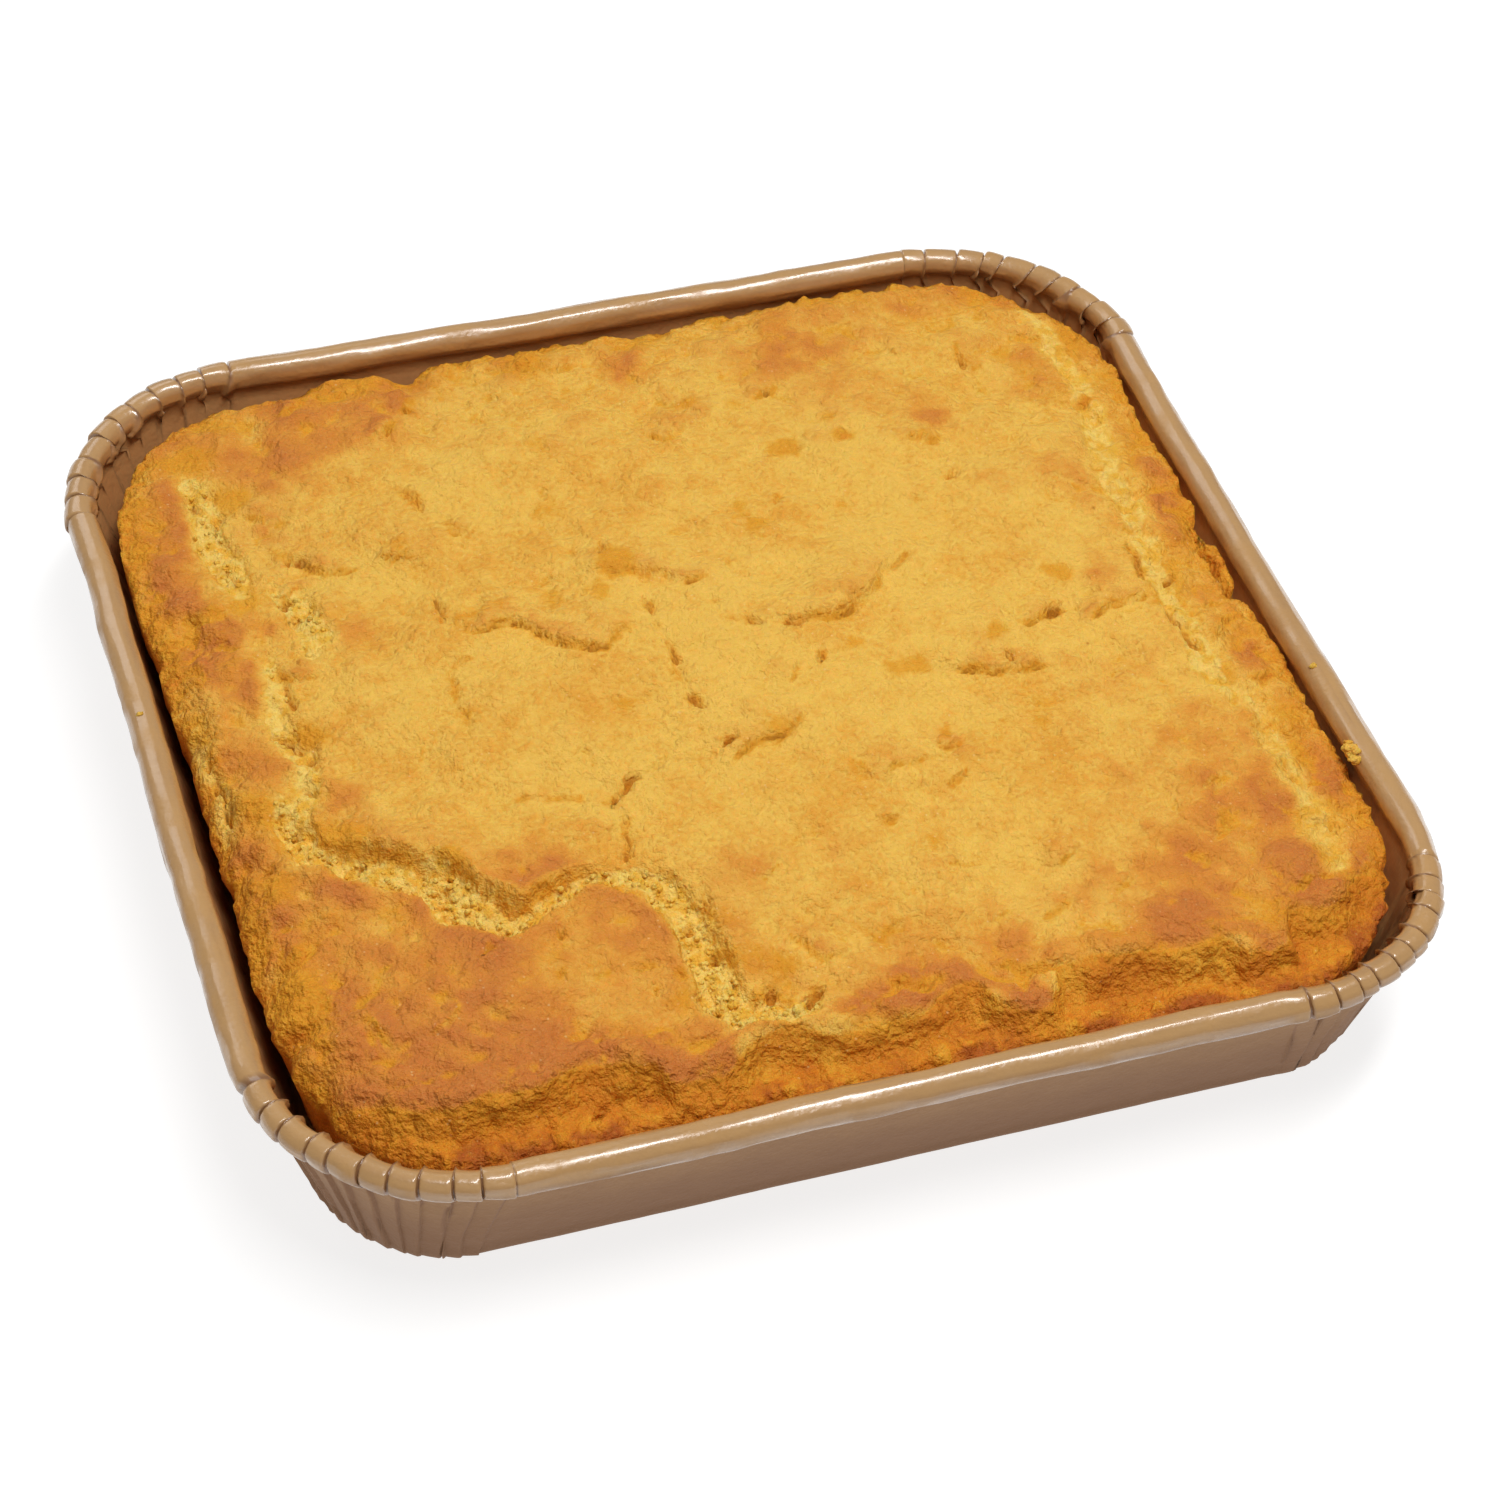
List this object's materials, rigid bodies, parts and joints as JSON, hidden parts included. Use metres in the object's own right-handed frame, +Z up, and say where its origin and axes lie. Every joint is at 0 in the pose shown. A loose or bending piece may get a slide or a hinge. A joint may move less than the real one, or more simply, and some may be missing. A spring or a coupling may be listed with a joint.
{
  "type": "square cornbread in a paper baking tray",
  "caption": "Square cornbread with a cracked, browned top, in its pleated brown paper tray with a rolled rim.",
  "frame": {"origin": "middle of the tray's underside, on the surface it stands on", "axes": "+Z up, +X to the right and +Y to the back as seen from the front"},
  "size_m": [0.1998, 0.2001, 0.036],
  "materials": {
    "kraft_paper": "brown baking paper, glossy on the rolled rim",
    "cornbread_crumb": "golden crust, browned at the edges, pale yellow crumb in the cracks"
  },
  "bodies": {
    "root": {"baking_tray": "kraft_paper", "cornbread": "cornbread_crumb"}
  },
  "joints": []
}
